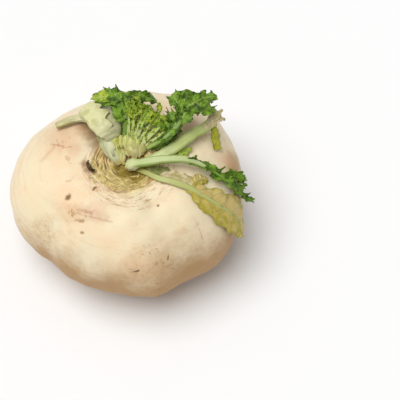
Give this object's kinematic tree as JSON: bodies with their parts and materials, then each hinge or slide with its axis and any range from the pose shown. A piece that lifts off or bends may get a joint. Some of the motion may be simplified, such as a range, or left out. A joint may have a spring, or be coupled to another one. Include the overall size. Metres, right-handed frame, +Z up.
{
  "type": "turnip",
  "caption": "Large flat round turnip root with a sunken crown of cut, curly and wilted leaves, standing on its own small flat spot.",
  "frame": {"origin": "middle of the small flat spot that the turnip rests on, straight below the middle of its crown", "axes": "+Z up out of the crown, +X towards the side where the stalk and the wilted leaf hang down, +Y towards the side that the curly leaves lean to"},
  "size_m": [0.1927, 0.1724, 0.1387],
  "materials": {
    "skin": "thin cream skin with a soft sheen, brown scars round the crown",
    "pale_sheath": "smooth pale grey-green leaf base",
    "cut_stalk": "ribbed pale green stalk with a dried cut end",
    "fresh_stalk": "smooth moist light green stalk",
    "green_blade": "crumpled dark green leaf with pale ribs",
    "young_blade": "small curly yellow-green leaf",
    "wilted_blade": "limp translucent yellow leaf",
    "dry_scale": "dry brown papery scale"
  },
  "bodies": {
    "root": {"root": "skin", "heart_stem": "fresh_stalk", "leaf_base_left": "pale_sheath", "stalk_left": "cut_stalk", "leaf_back_left": "green_blade", "leaf_heart_left": "young_blade", "leaf_heart_centre": "young_blade", "leaf_heart_right": "young_blade", "leaf_back_right": "green_blade", "blade_right": "green_blade", "stalk_right": "cut_stalk", "strap_right": "wilted_blade", "leaf_side_right": "young_blade", "leaf_front": "fresh_stalk", "leaf_wilted": "wilted_blade", "dry_scale_left": "dry_scale", "dry_scale_back": "dry_scale"}
  },
  "joints": []
}
